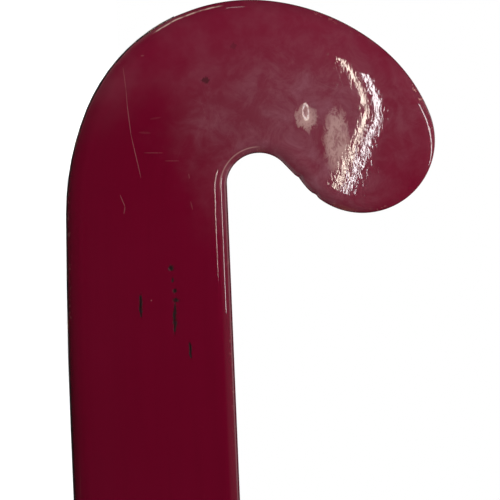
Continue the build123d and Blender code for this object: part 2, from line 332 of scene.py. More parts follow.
def make_world():
    """White to look at, soft and dim in reflections, and an even glow on the object."""
    world = bpy.data.worlds.new("studio")
    bpy.context.scene.world = world
    world.use_nodes = True
    sky = Recipe(world.node_tree)
    sky.tree.nodes.clear()
    ray = sky.node("ShaderNodeLightPath").socket.node
    direction = sky.node("ShaderNodeTexCoord", output="Generated")
    up = sky.node("ShaderNodeSeparateXYZ", inputs={0: direction}, output=2)
    gloss = Value(sky, ray.outputs["Is Glossy Ray"])
    seen = Value(sky, ray.outputs["Is Camera Ray"])
    ceiling = up.above(0.60, 0.97)
    in_gloss = 0.012 + ceiling * 0.16
    glow = gloss * in_gloss + (1 - gloss) * 0.62
    strength = seen + (1 - seen) * glow
    background = sky.node("ShaderNodeBackground", inputs={0: (1, 1, 1, 1), 1: strength})
    sky.node("ShaderNodeOutputWorld", inputs={0: background})


def make_floor():
    """A plain pale round floor."""
    mesh = bpy.data.meshes.new("floor")
    shape = bmesh.new()
    bmesh.ops.create_circle(shape, cap_ends=True, segments=96, radius=FLOOR_RADIUS)
    shape.to_mesh(mesh)
    shape.free()
    floor = new_object("floor", mesh)
    paper = Finish("pale_floor")
    ray = paper.node("ShaderNodeLightPath").socket.node
    seen = Value(paper, ray.outputs["Is Camera Ray"])
    matt = 1 - Value(paper, ray.outputs["Is Glossy Ray"])
    x, y, z = paper.axes()
    near = ((x * x + y * y) ** 0.5).above(0.95, 0.45) * y.above(0.19, 0.10)
    matt = (matt + near * 0.4).clamped()
    colour = paper.mix(matt, (0.012, 0.012, 0.012), (0.78, 0.78, 0.77))
    glow = paper.mix(seen, (0.010, 0.010, 0.010), (0.71, 0.71, 0.71))
    floor.data.materials.append(
        paper.surface(
            Base_Color=colour,
            Roughness=1.0,
            Specular_IOR_Level=0.0,
            Emission_Color=glow,
            Emission_Strength=1.0,
        )
    )


# ---- the runners ------------------------------------------------------------------------


def walk(start, heading, runs, inward):
    """An edge made of lines (length,) and arcs (radius, degrees): its point at any length.

    Returns a function of length that gives the points and their normals into the wood,
    and the lengths at the runs' ends. inward is 1 if the wood is on the left of the walk.
    """
    stops = [0.0]
    starts = [(start, heading)]
    for run in runs:
        x, z = starts[-1][0]
        angle = starts[-1][1]
        if len(run) == 1:
            stops.append(stops[-1] + run[0])
            starts.append(((x + run[0] * cos(angle), z + run[0] * sin(angle)), angle))
            continue
        radius, turn = run[0], radians(run[1])
        bend = radius if turn > 0 else -radius
        end = angle + turn
        stops.append(stops[-1] + radius * abs(turn))
        x += bend * (sin(end) - sin(angle))
        z -= bend * (cos(end) - cos(angle))
        starts.append(((x, z), end))

    def at(length):
        index = np.clip(np.searchsorted(stops, length, side="right") - 1, 0, len(runs) - 1)
        points = np.zeros((len(length), 2))
        headings = np.zeros(len(length))
        for i, run in enumerate(runs):
            here = index == i
            (x, z), angle = starts[i]
            along = length[here] - stops[i]
            if len(run) == 1:
                points[here] = np.stack([x + along * cos(angle), z + along * sin(angle)], 1)
                headings[here] = angle
                continue
            bend = run[0] if run[1] > 0 else -run[0]
            turned = angle + along / bend
            points[here, 0] = x + bend * (np.sin(turned) - sin(angle))
            points[here, 1] = z - bend * (np.cos(turned) - cos(angle))
            headings[here] = turned
        normals = np.stack([-np.sin(headings), np.cos(headings)], 1) * inward
        return points, normals

    return at, stops


def runner_edges():
    """The plank's two long edges, from the middle of the tail to the middle of the knob."""
    tail_flat = (PLANK_DEPTH - TAIL_RADIUS - TAIL_TOP_RADIUS) / 2
    tail_middle = (TAIL_X, SOLE_Z + TAIL_RADIUS + tail_flat)
    reach, heading = 0.0, 0.0
    for radius, turn in HORN_ARCS[:2]:
        reach += radius * (sin(heading + radians(turn)) - sin(heading))
        heading += radians(turn)
    reach += HORN_ARCS[2][0] * (1 - sin(heading))
    lift_x = NOSE_X - reach
    sole = [(tail_flat,), (TAIL_RADIUS, 90), (lift_x - TAIL_X - TAIL_RADIUS,)]
    outer_runs = sole + list(HORN_ARCS) + [(KNOB_RADIUS, KNOB_TURN / 2)]
    outer, outer_stops = walk(tail_middle, radians(-90), outer_runs, 1)

    whole_knob = sole + list(HORN_ARCS) + [(KNOB_RADIUS, KNOB_TURN)]
    edge, edge_stops = walk(tail_middle, radians(-90), whole_knob, 1)
    knob_end = edge(np.array([edge_stops[-1]]))[0][0]
    throat_turn = sum(turn for _, turn in HORN_ARCS) + KNOB_TURN - 180
    slope = radians(180 - throat_turn)
    tangent = THROAT_RADIUS * tan(radians(throat_turn / 2))
    underside = (knob_end[1] - TOP_Z) / sin(slope) - tangent
    throat_x = knob_end[0] + (knob_end[1] - TOP_Z) / tan(slope) - tangent
    top_length = throat_x - TAIL_X - TAIL_TOP_RADIUS
    inner_runs = [
        (tail_flat,),
        (TAIL_TOP_RADIUS, -90),
        (top_length,),
        (THROAT_RADIUS, throat_turn),
        (underside,),
        (KNOB_RADIUS, -KNOB_TURN / 2),
    ]
    inner, inner_stops = walk(tail_middle, radians(90), inner_runs, -1)
    return outer, outer_stops, inner, inner_stops, lift_x


def stations(outer_stops, inner_stops, lift_x):
    """Matching lengths along the two edges: coarse on the plank, fine on the horn."""
    top_start = inner_stops[2] - TAIL_X - TAIL_TOP_RADIUS  # the length at x = 0 on the top edge
    throat_start, throat_end = inner_stops[3], inner_stops[4]
    throat = throat_end - throat_start
    lift_end, rise_end, nose_end, crown_end, shoulder_end = outer_stops[4:9]
    nose = nose_end - rise_end
    keys = [  # (length on the outer edge, length on the inner edge, spacing)
        (0.0, 0.0, None),
        (outer_stops[2], top_start + TAIL_X + TAIL_RADIUS, 0.004),
        (outer_stops[3], top_start + lift_x - 0.01, 0.008),
        (lift_end, throat_start - 0.022, 0.003),
        (rise_end, throat_start, 0.0022),
        (rise_end + nose * 0.55, throat_start + throat * 0.45, 0.0022),
        (crown_end, throat_end, 0.0018),
        (shoulder_end, inner_stops[5], 0.0013),
        (outer_stops[9], inner_stops[6], 0.0015),
    ]
    outer, inner = [0.0], [0.0]
    for (a, c, _), (b, d, spacing) in zip(keys, keys[1:]):
        count = max(2, round((b - a) / spacing))
        for i in range(1, count + 1):
            outer.append(a + (b - a) * i / count)
            inner.append(c + (d - c) * i / count)
    return np.array(outer), np.array(inner)


def smooth_step(share):
    """0 at and below 0, 1 at and above 1, smooth between."""
    share = np.clip(share, 0, 1)
    return share**2 * (3 - 2 * share)


def head_relief(x, z):
    """How far the head's face stands out of the plank's: a dome that falls away upwards."""
    ahead = x - RIDGE_PEAK[0]
    drop_behind = 0.68 * (np.hypot(ahead, 0.004) - 0.004)
    ridge_z = RIDGE_PEAK[1] - np.where(ahead > 0, 19 * ahead**2, drop_behind)
    beyond = np.clip(z - ridge_z + RIDGE_SET_BACK, 0, None)
    fall = DOME_CURVATURE / 2 * beyond**2
    on_head = smooth_step(np.clip((x - 0.395) / 0.05, 0, 1) * np.clip((z - 0.09) / 0.05, 0, 1))
    before_nose = smooth_step((0.575 - x) / 0.06)
    return (SWELL_HEIGHT - fall) * before_nose * on_head


def waves(x, z, size, seed):
    """Slow unevenness left by the spokeshave, from -1 to 1."""
    spots = zip(x.ravel(), z.ravel())
    heights = [noise.noise(Vector((a / size, b / size, seed))) for a, b in spots]
    return np.array(heights).reshape(x.shape)


def edge_rows(points, normals):
    """The rows from the middle of an edge to where its rounding ends, with its knocks."""
    rows = [points] + [points + normals * depth for depth in ROUND_DEPTHS]
    for (knock_x, knock_z), reach, depth in KNOCKS:
        for row in rows:
            off = np.hypot(row[:, 0] - knock_x, row[:, 1] - knock_z) / reach
            row += normals * (depth * np.exp(-off * off))[:, None]
    return rows


def raised(places, heights, side):
    """The grid's points, each its height off the plank's middle plane plus the relief there."""
    x, z = places[..., 0], places[..., 1]
    share = np.clip((np.abs(heights) - ROUND_RISES[0]) / EDGE_ROUND, 0, 1)[None, :]
    relief = head_relief(x, z) + WAVE_HEIGHT * waves(x, z, WAVE_SIZE, side + 3.0)
    y = heights[None, :] + np.sign(heights)[None, :] * share * relief
    return np.stack([x, side * (RUNNER_Y + y), z], 2).reshape(-1, 3)


def mark_grain(mesh, places, along, faces):
    """Stores lengths along the runner and round its section, which the grain follows."""
    ring = places.shape[1]
    along = np.repeat(along[:, None], ring, 1).ravel()
    steps = np.linalg.norm(np.diff(places, axis=1, append=places[:, :1]), axis=2)
    around = np.cumsum(steps, axis=1).ravel()
    corners = np.array(faces).ravel()
    grain = mesh.uv_layers.new(name="grain")
    grain.data.foreach_set("uv", np.stack([along[corners], around[corners]], 1).ravel())


def mark_from_edge(mesh, outer_row, inner_row):
    """Stores each point's distance from the nearer edge, for the wear that follows it."""
    count = len(outer_row)
    rounding = [np.zeros(count)] + [np.full(count, depth) for depth in ROUND_DEPTHS]
    half_span = np.linalg.norm(outer_row - inner_row, axis=1) / 2
    shares = [1 - abs(2 * i / ACROSS_STEPS - 1) for i in range(1, ACROSS_STEPS)]
    middle = [EDGE_ROUND + half_span * share for share in shares]
    face = rounding + middle + rounding[::-1]
    inset = mesh.attributes.new("from_edge", "FLOAT", "POINT")
    inset.data.foreach_set("value", np.stack(face + face[-2:0:-1], 1).ravel())


def close_and_smooth(mesh):
    """Merges the rows that meet at the tail and the knob, and turns every face outwards."""
    shape = bmesh.new()
    shape.from_mesh(mesh)
    bmesh.ops.remove_doubles(shape, verts=shape.verts, dist=1e-6)
    bmesh.ops.dissolve_degenerate(shape, edges=shape.edges, dist=1e-7)
    bmesh.ops.recalc_face_normals(shape, faces=shape.faces)
    shape.to_mesh(mesh)
    shape.free()
    mesh.shade_smooth()


def make_runner(hand, lacquer):
    """A runner's plank: points round each section, from the tail to the knob."""
    side = SIDES[hand]
    outer, outer_stops, inner, inner_stops, lift_x = runner_edges()
    outer_at, inner_at = stations(outer_stops, inner_stops, lift_x)
    outer_rows = edge_rows(*outer(outer_at))
    inner_rows = edge_rows(*inner(inner_at))
    middle = [
        outer_rows[-1] + (inner_rows[-1] - outer_rows[-1]) * i / ACROSS_STEPS
        for i in range(1, ACROSS_STEPS)
    ]
    face = outer_rows + middle + inner_rows[::-1]
    rounding = [0.0, *ROUND_RISES]
    face_heights = rounding + [HALF_THICKNESS] * len(middle) + rounding[::-1]
    places = np.stack(face + face[-2:0:-1], 1)
    heights = np.array(face_heights + [-height for height in face_heights[-2:0:-1]])

    count, ring = places.shape[:2]
    faces = []
    for i in range(count - 1):
        for j in range(ring):
            k = (j + 1) % ring
            faces.append((i * ring + j, i * ring + k, (i + 1) * ring + k, (i + 1) * ring + j))
    mesh = bpy.data.meshes.new(f"runner_{hand}_plank")
    mesh.from_pydata(raised(places, heights, side).tolist(), [], faces)
    mark_grain(mesh, places, (outer_at + inner_at) / 2, faces)
    mark_from_edge(mesh, outer_rows[-1], inner_rows[-1])
    close_and_smooth(mesh)

    plank = new_object(mesh.name, mesh)
    plank.data.materials.append(lacquer)
    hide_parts(f"runner_{hand}")
    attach(plank, SLED)


# ---- finishes ---------------------------------------------------------------------------

GOUGES = (  # dark splits along the grain: (forward, up) of both ends, half width
    ((0.3850, 0.0461), (0.3705, 0.0456), 0.0013),
    ((0.4010, 0.0646), (0.3975, 0.0654), 0.0024),
    ((0.3938, 0.0656), (0.3905, 0.0657), 0.0010),
    ((0.3868, 0.0668), (0.3842, 0.0666), 0.0017),
    ((0.3810, 0.0670), (0.3785, 0.0666), 0.0022),
    ((0.3780, 0.0664), (0.3590, 0.0656), 0.0015),
    ((0.3540, 0.0744), (0.3440, 0.0746), 0.0012),
)
SCRATCHES = (  # pale scratches: the corners of each line, half width, strength
    (((0.5217, 0.0409), (0.5085, 0.0421), (0.4961, 0.0426)), 0.00030, 0.30),
    (((0.4985, 0.0425), (0.4809, 0.0440), (0.4546, 0.0490)), 0.00034, 0.42),
    (((0.4449, 0.0359), (0.4375, 0.0386), (0.4333, 0.0378)), 0.00034, 0.45),
    (((0.4697, 0.0515), (0.4692, 0.0630)), 0.00034, 0.20),
    (((0.4643, 0.0640), (0.4640, 0.0724)), 0.00034, 0.20),
    (((0.4900, 0.0560), (0.4908, 0.0625)), 0.00070, 0.07),
    (((0.4822, 0.0490), (0.4815, 0.0560)), 0.00090, 0.07),
    (((0.5285, 0.0520), (0.5286, 0.0538)), 0.00050, 0.30),
    (((0.5250, 0.0395), (0.5236, 0.0372)), 0.00060, 0.22),
    (((0.4560, 0.0780), (0.4530, 0.0783)), 0.00040, 0.22),
    (((0.4390, 0.0785), (0.4340, 0.0795)), 0.00045, 0.18),
    (((0.3805, 0.0522), (0.3798, 0.0522)), 0.00050, 0.80),
)
SMUDGES = (  # dark rubs: both ends, half width, strength
    ((0.5120, 0.0885), (0.5122, 0.0925), 0.0026, 0.75),
    ((0.5320, 0.1070), (0.5326, 0.1095), 0.0026, 0.35),
)
DEEP_BURGUNDY = (0.124, 0.0014, 0.0148)
BRIGHT_BURGUNDY = (0.138, 0.0024, 0.0185)
DARK_BURGUNDY = (0.100, 0.0009, 0.0110)
# painted reflection: a brighter burgundy that lightens the crown
CROWN_REFLECTION_BURGUNDY = (0.215, 0.014, 0.042)


class Lacquer(Finish):
    """The runners' lacquer: the places and noises that its marks share, and each mark."""

    def __init__(self):
        super().__init__("burgundy_lacquer")
        self.x, self.y, self.z = self.axes()
        self.grain_place = self.node("ShaderNodeUVMap", {"uv_map": "grain"})
        self.from_edge = self.node(
            "ShaderNodeAttribute", {"attribute_name": "from_edge"}, output="Fac"
        )
        self.left_face = self.y.above(OUTER_Y - 0.004, OUTER_Y - 0.002)
        self.plank_part = self.x.above(0.300, 0.240)
        self.cloud = self.noise(self.place, 9, 3)
        self.ragged = self.noise(self.place, 26, 4, 0.6)
        self.wisps = self.noise(self.place, 62, 6, 0.72, 0.5)
        # ragged edges for the painted highlights on the head
        self.highlight_raggedness = self.noise(self.stretched((150, 200, 260), (1, 0, 3)), 1, 4, 0.7, 0.5)
        self.torn_edge = self.noise(self.stretched((420, 420, 1300)), 1, 3, 0.6)

    def off(self, centre, x_weight=1.0, z_weight=1.0):
        """Distance from a (forward, up) centre, with a weight on each direction."""
        dx, dz = self.x - centre[0], self.z - centre[1]
        return (dx * dx * x_weight + dz * dz * z_weight) ** 0.5

    def stroke(self, start, end, width, raggedness=0.0):
        """A mark on the side from start to end that thins towards both, from 0 to 1."""
        run = (end[0] - start[0], end[1] - start[1])
        square = run[0] ** 2 + run[1] ** 2
        dx = self.x - start[0]
        dz = self.z - start[1]
        share = ((dx * run[0] + dz * run[1]) / square).clamped()
        ex = dx - share * run[0]
        ez = dz - share * run[1]
        off = (ex * ex + ez * ez) ** 0.5 + raggedness
        from_middle = (share * 2 - 1).absolute()
        taper = 1 - from_middle * from_middle * from_middle * 0.7
        return (off / (taper * width)).above(1.0, 0.4)

    def hairlines(self, angle, seed):
        """Fine straight scratches that run one way over the runner's side."""
        settings = {"vector_type": "TEXTURE"}
        turned = self.node("ShaderNodeMapping", settings, {0: self.place, 2: (0, angle, 0)})
        lines = self.noise(self.stretched((28, 6, 1500), (seed, 0, seed), turned), 1, 1)
        return lines.above(0.66, 0.78)

    def bare_colour(self):
        """The burgundy: cloudy, darker along the grain, and lightened on the crown by a painted
        reflection.
        """
        grain = self.noise(self.stretched((6, 160, 1), vector=self.grain_place), 1, 4, 0.6)
        colour = self.mix(self.cloud.above(0.35, 0.7) * 0.5, DEEP_BURGUNDY, BRIGHT_BURGUNDY)
        colour = self.mix(grain.above(0.35, 0.75) * 0.25, colour, DARK_BURGUNDY)
        # painted reflection: the crown is mixed towards a brighter burgundy
        return self.mix(self.x.above(0.480, 0.545) * 0.35, colour, CROWN_REFLECTION_BURGUNDY)

    def haze_and_sheen(self):
        """Where years of handling have clouded the head, with a painted sheen over the same
        place.
        """
        away = self.off((0.485, 0.160), z_weight=0.7) + (self.ragged - 0.5) * 0.05
        haze_and_sheen = away.above(0.095, 0.030) * (0.50 + self.z.above(0.200, 0.172) * 0.50)
        return haze_and_sheen * (0.6 + self.x.above(0.535, 0.505) * 0.4)

    def milk_and_sheen(self, haze_and_sheen):
        """Wisps of clouding and a fainter cloud over the crown: real clouding of the lacquer with
        a painted sheen in it.
        """
        crown = self.noise(self.place, 18, 4, 0.6).above(0.42, 0.75)
        crown = crown * self.x.above(0.47, 0.54)
        return (haze_and_sheen * (0.32 + self.wisps.above(0.34, 0.8) * 0.75) + crown * 0.34).clamped()

    def hairs(self, haze_and_sheen):
        """Fine crossing scratches in patches, most of them where the head is clouded and carries
        the painted sheen.
        """
        hairs = self.hairlines(0.3, 1) + self.hairlines(1.1, 2) * 0.8
        hairs = hairs + self.hairlines(2.0, 3) * 0.8 + self.hairlines(2.7, 4)
        patches = self.noise(self.place, 34, 3).above(0.42, 0.68)
        return (hairs * patches * (0.06 + haze_and_sheen * 0.6)).clamped()

    def dull_streaks(self):
        """Streaks along the head that have lost some of their gloss."""
        streaks = self.noise(self.stretched((75, 60, 620), (2, 0, 4)), 1, 4, 0.7, 0.4)
        on_head = self.z.above(0.140, 0.155) * (0.45 + self.x.above(0.49, 0.46) * 0.25)
        return streaks.above(0.47, 0.56) * on_head

    def crescent_highlight_patch(self):
        """A long pale tan patch across the head: a painted highlight for the lower part of the
        crescent reflection.
        """
        off = self.off((0.4725, 0.1685), x_weight=0.16)
        return (off + (self.highlight_raggedness - 0.5) * 0.016).above(0.0085, 0.0050)

    def dimple_highlight_spot(self):
        """A small ragged spot beside it, round the dimple on the left face: a painted highlight
        for the dimple's reflection.
        """
        off = self.off((0.4868, 0.1504), x_weight=0.8)
        return (off + (self.highlight_raggedness - 0.5) * 0.018).above(0.0075, 0.0045) * self.left_face

    def scratches(self):
        """The long pale scratches."""
        total = 0.0
        for corners, width, strength in SCRATCHES:
            for start, end in zip(corners, corners[1:]):
                total = self.stroke(start, end, width) * strength + total
        broken = self.noise(self.stretched((250, 250, 900)), 1, 2).above(0.15, 0.5)
        return (total * self.left_face * broken).clamped()

    def use_marks(self):
        """Drag marks near the sole and specks in patches, on the plank behind the horn."""
        drag = self.noise(self.stretched((7, 300, 520)), 1, 3, 0.6).above(0.60, 0.74)
        near_sole = self.z.above(0.052, 0.010)
        drag = drag * self.ragged.above(0.42, 0.62) * (0.10 + near_sole * 0.65)
        specks = self.noise(self.stretched((140, 300, 300), (5, 2, 1)), 1, 3, 0.65)
        specks = specks.above(0.690, 0.725) * self.cloud.above(0.45, 0.60)
        return ((drag + specks * 0.7) * self.plank_part).clamped()

    def splits(self):
        """The dark gouges, with torn edges."""
        total = 0.0
        for start, end, width in GOUGES:
            torn = (self.torn_edge - 0.42) * width * 2.6
            total = self.stroke(start, end, width * 1.25, torn) + total
        return (total * self.left_face).clamped()

    def smudges(self):
        """Two dark rubs near the crown."""
        total = 0.0
        for start, end, width, strength in SMUDGES:
            blurred = (self.torn_edge - 0.5) * width * 1.4
            total = self.stroke(start, end, width, blurred) * strength + total
        return total * self.left_face

    def chips(self):
        """Small chips along the edges, most of them on the knob's upper rim."""
        flecks = self.noise(self.place, 330, 3, 0.7).above(0.57, 0.63)
        runs = self.noise(self.place, 22, 2).above(0.50, 0.62)
        knob_run = self.x.above(0.472, 0.480) * self.x.above(0.514, 0.506)
        knob_run = knob_run * self.z.above(0.2110, 0.2150)
        runs = (runs * 0.35 + knob_run).clamped()
        return flecks * runs * self.from_edge.above(0.0034, 0.0012)

    def painted_arris_highlights(self):
        """Two thin pale lines along the rounding, at the nose and in the throat: painted
        highlights that stand in for the lamps' reflections on the arris.
        """
        x, z, inset = self.x, self.z, self.from_edge
        nose_run = x.above(0.5405, 0.5445) * z.above(0.104, 0.097) * z.above(0.058, 0.062)
        broken = 0.35 + self.noise(self.place, 210, 2).above(0.40, 0.55) * 0.65
        nose = inset.above(0.0017, 0.0021) * inset.above(0.0029, 0.0024) * nose_run * broken
        throat_run = x.above(0.442, 0.450) * z.above(0.124, 0.116) * z.above(0.088, 0.094)
        throat_run = throat_run * x.above(0.480, 0.474)
        throat = inset.above(0.0032, 0.0036) * inset.above(0.0043, 0.0039) * throat_run
        outwards = self.y.above(RUNNER_Y, RUNNER_Y + 0.004)
        return ((nose * 0.95 + throat * 0.34) * outwards).clamped()

    def relief(self, marks):
        """The marks, brush marks, the head's hand-cut facets and a dimple, as one normal."""
        fine = self.bump(marks, 0.00010)
        brush_marks = self.noise(self.stretched((5, 210, 1), vector=self.grain_place), 1, 3, 0.6)
        brushed = self.bump(brush_marks * self.plank_part, 0.00006, fine)
        facets = self.noise(self.stretched((180, 60, 460), (3, 1, 2)), 1, 1.5, 0.5, 0.8)
        on_head = self.z.above(0.135, 0.150) * (self.x.above(0.488, 0.456) * 0.10 + 0.10)
        rounding_end = self.from_edge.above(0.0055, 0.0075) * self.from_edge.above(0.0125, 0.0095)
        ripple_run = 0.3 + self.x.above(0.385, 0.392) * self.x.above(0.436, 0.426)
        ripple_run = ripple_run * rounding_end * self.z.above(0.115, 0.105)
        ripple = self.noise(self.stretched((420, 200, 200)), 1, 2) * ripple_run
        waved = self.bump(facets * on_head + ripple * 0.35, 0.00034, brushed)
        dimple_x, dimple_z = (self.x - 0.4905) / 0.0060, (self.z - 0.1530) / 0.0034
        dimple = (0 - dimple_x * dimple_x - dimple_z * dimple_z).math("EXPONENT")
        return self.bump(dimple * self.left_face, -0.0009, waved)


def burgundy_lacquer():
    """Deep burgundy gloss lacquer over wood, clouded and scuffed round the head, with painted
    highlights, a painted sheen and a painted reflection in its colour.
    """
    coat = Lacquer()
    haze_and_sheen = coat.haze_and_sheen()
    milk_and_sheen, hairs = coat.milk_and_sheen(haze_and_sheen), coat.hairs(haze_and_sheen)
    # painted highlights that stand in for the crescent's and the dimple's reflections
    patch, spot = coat.crescent_highlight_patch(), coat.dimple_highlight_spot()
    painted_reflections = (patch + spot) * 0.62 * (0.35 + coat.highlight_raggedness.above(0.32, 0.55) * 0.65)
    scratches, used = coat.scratches(), coat.use_marks()
    splits, chips = coat.splits(), coat.chips()
    layers = (
        # pale pink for the clouding with its painted sheen, and for the fine scratches
        (milk_and_sheen * 0.62 + hairs * 0.35, (0.25, 0.105, 0.135)),
        # painted reflections: pale tan where the crescent and the dimple would catch the lamps
        (painted_reflections, (0.50, 0.33, 0.30)),
        (scratches * 0.8, (0.36, 0.15, 0.155)),
        (used * 0.55, (0.34, 0.15, 0.14)),
        (splits * 0.96, (0.0040, 0.0012, 0.0015)),
        (coat.smudges(), (0.045, 0.010, 0.014)),
        (chips * 0.8, (0.50, 0.21, 0.19)),
        # painted highlights along the arris at the nose and in the throat
        (coat.painted_arris_highlights() * 0.85, (0.62, 0.40, 0.35)),
    )
    colour = coat.bare_colour()
    for share, tint in layers:
        colour = coat.mix(share, colour, tint)

    scuffed = (milk_and_sheen + patch * (0.25 + coat.wisps * 0.6)).clamped()
    worn = (scuffed * 0.03 + splits + scratches * 0.5 + chips + used * 0.7).clamped()
    marks = hairs * 0.25 + coat.wisps * haze_and_sheen * 0.05 - splits * 0.5 - scratches * 0.4 - chips
    return coat.surface(
        Base_Color=colour,
        Roughness=(0.030 + worn * 0.40 + coat.dull_streaks() * 0.05).clamped(),
        Specular_IOR_Level=0.55,
        Normal=coat.relief(marks),
    )


def screw_stains(x, y, from_middle):
    """Dark rings round the deck's screws: one in each inner slat, two in each outer one."""
    outermost = y.absolute().above(OUTER_SLAT_FROM - 0.001, OUTER_SLAT_FROM + 0.001)
    stains = 0.0
    for bar_x in bar_places.values():
        off_x = x - bar_x
        inner_off = (off_x * off_x + from_middle * from_middle) ** 0.5
        outer_x = off_x.absolute() - OUTER_SCREW_STEP
        outer_y = y.absolute() - RUNNER_Y
        outer_off = (outer_x * outer_x + outer_y * outer_y) ** 0.5
        inner_stain = inner_off.above(0.0085, 0.0045) * (1 - outermost)
        outer_stain = outer_off.above(0.0085, 0.0045) * outermost
        stains = stains + inner_stain + outer_stain
    return stains


def varnished_ash(name, along):
    """Clear varnish over ash whose grain runs along X or Y, each piece cut elsewhere."""
    wood = Finish(name)
    x, y, z = wood.axes()
    if along == "X":
        run, across = x, y
        piece = ((y + SLAT_PITCH / 2) / SLAT_PITCH).math("FLOOR")
    else:
        run, across = y, x
        piece = ((x + 0.6) / 0.34).math("FLOOR")
    of_number = {"noise_dimensions": "1D"}
    chance = wood.node("ShaderNodeTexWhiteNoise", of_number, {"W": piece})
    colour_chance = wood.node("ShaderNodeTexWhiteNoise", of_number, {"W": piece + 7.3})

    place = wood.vector(run + chance * 3, across, z + piece * 0.4)
    sway = wood.noise(wood.stretched((2.2, 9, 9), vector=place), 1, 3, 0.55)
    pith_across = across + (chance - 0.5) * 0.16 + (sway - 0.5) * 0.030
    pith_deep = z - 0.02 - colour_chance * 0.06 + (sway - 0.5) * 0.022
    rings = (pith_across * pith_across + pith_deep * pith_deep) ** 0.5 / 0.0046
    ring = rings.math("FRACT")
    late = ring.above(0.30, 0.86) * ring.above(1.0, 0.93)
    pores = wood.noise(wood.stretched((55, 1900, 1900), vector=place), 1, 2, 0.6)
    pores = pores.above(0.58, 0.70) * ring.above(0.62, 0.20)
    fibre = wood.noise(wood.stretched((14, 700, 700), vector=place), 1, 3, 0.6)
    tone = wood.noise(wood.stretched((3, 14, 14), vector=place), 1, 2)

    colour = wood.mix(late, (0.545, 0.325, 0.135), (0.385, 0.195, 0.066))
    colour = wood.mix(fibre.above(0.3, 0.75) * 0.35, colour, (0.62, 0.40, 0.185))
    colour = wood.mix(pores * 0.55, colour, (0.205, 0.095, 0.032))
    colour = wood.mix(colour_chance * 0.35 + tone * 0.2, colour, (0.40, 0.215, 0.082))
    end_grain = run.absolute().above(0.1685, 0.1695) if along == "Y" else x.above(0.2385, 0.2395)
    colour = wood.mix(end_grain * 0.55, colour, (0.20, 0.098, 0.036))

    scuffed = wood.noise(wood.place, 7, 4, 0.6).above(0.48, 0.72)
    edge = 0.0
    if along == "X":
        from_middle = (across - piece * SLAT_PITCH).absolute()
        edge = from_middle.above(0.0165, 0.0192)
        drag = wood.noise(wood.stretched((9, 800, 1)), 1, 2, 0.6).above(0.62, 0.72)
        top = z.above(DECK_Z - 0.002, DECK_Z - 0.0005)
        scuffed = (scuffed * 0.6 + drag * scuffed).clamped() * top
        rust = (screw_stains(x, across, from_middle) * top).clamped()
        colour = wood.mix(rust * 0.5, colour, (0.10, 0.045, 0.020))
    grime = wood.noise(wood.place, 45, 4, 0.65)
    edge_wear = grime.above(0.45, 0.65) * edge
    colour = wood.mix(edge_wear * 0.4, colour, (0.30, 0.19, 0.105))
    colour = wood.mix(scuffed * 0.28, colour, (0.66, 0.50, 0.32))
    relief = fibre * 0.35 - pores * 0.6 + late * 0.25
    worn = (scuffed * 0.6 + edge_wear * 0.8).clamped()
    return wood.surface(
        Base_Color=colour,
        Roughness=0.42 + fibre * 0.12 + worn * 0.2,
        Specular_IOR_Level=0.4,
        Coat_Weight=(0.85 - worn * 0.8).clamped(),
        Coat_Roughness=0.16,
        Normal=wood.bump(relief, 0.00012),
    )


def wedge_wood():
    """Dark hardwood, end grain outwards, oiled."""
    wood = Finish("dark_wedge_wood")
    fibre = wood.noise(wood.stretched((900, 40, 900)), 1, 3, 0.6)
    pores = wood.noise(wood.place, 1400, 2, 0.5).above(0.58, 0.68)
    colour = wood.mix(fibre, (0.060, 0.026, 0.011), (0.130, 0.060, 0.027))
    colour = wood.mix(pores * 0.7, colour, (0.018, 0.008, 0.004))
    return wood.surface(
        Base_Color=colour,
        Roughness=0.45 + fibre * 0.2,
        Normal=wood.bump(fibre * 0.4 - pores * 0.6, 0.0002),
    )


def shoe_steel():
    """Bare steel polished lengthwise by the snow, with rust along its edges."""
    steel = Finish("shoe_steel")
    x, y, z = steel.axes()
    drag = steel.noise(steel.stretched((6, 2600, 60)), 1, 4, 0.7)
    patch = steel.noise(steel.place, 24, 5, 0.65)
    speckle = steel.noise(steel.place, 420, 4, 0.7)
    from_middle = (y.absolute() - RUNNER_Y).absolute()
    rust = patch.above(0.52, 0.66) * speckle.above(0.42, 0.62)
    rust = (rust * (0.35 + from_middle.above(0.0035, 0.0068))).clamped()
    colour = steel.mix(drag, (0.30, 0.29, 0.28), (0.62, 0.61, 0.60))
    colour = steel.mix(patch.above(0.4, 0.7) * 0.4, colour, (0.24, 0.215, 0.19))
    colour = steel.mix(rust, colour, (0.185, 0.062, 0.020))
    return steel.surface(
        Base_Color=colour,
        Metallic=1 - rust * 0.9,
        Roughness=0.24 + drag * 0.18 + rust * 0.4,
        Normal=steel.bump(drag * 0.4 + rust * speckle, 0.00010),
    )


def screw_steel():
    """Blued steel screw heads, worn bright in places, no two alike."""
    steel = Finish("screw_steel")
    patch = steel.noise(steel.place, 95, 3, 0.6)
    speckle = steel.noise(steel.place, 900, 3, 0.7)
    turned = steel.noise(steel.place, 2200, 2, 0.5)
    rust = patch.above(0.54, 0.68) * speckle.above(0.38, 0.60)
    colour = steel.mix(patch.above(0.30, 0.62), (0.46, 0.45, 0.43), (0.20, 0.19, 0.185))
    colour = steel.mix(rust * 0.8, colour, (0.165, 0.060, 0.022))
    return steel.surface(
        Base_Color=colour,
        Metallic=1 - rust * 0.8,
        Roughness=0.27 + speckle * 0.16 + rust * 0.35,
        Normal=steel.bump(turned * 0.5 + rust, 0.00004),
    )


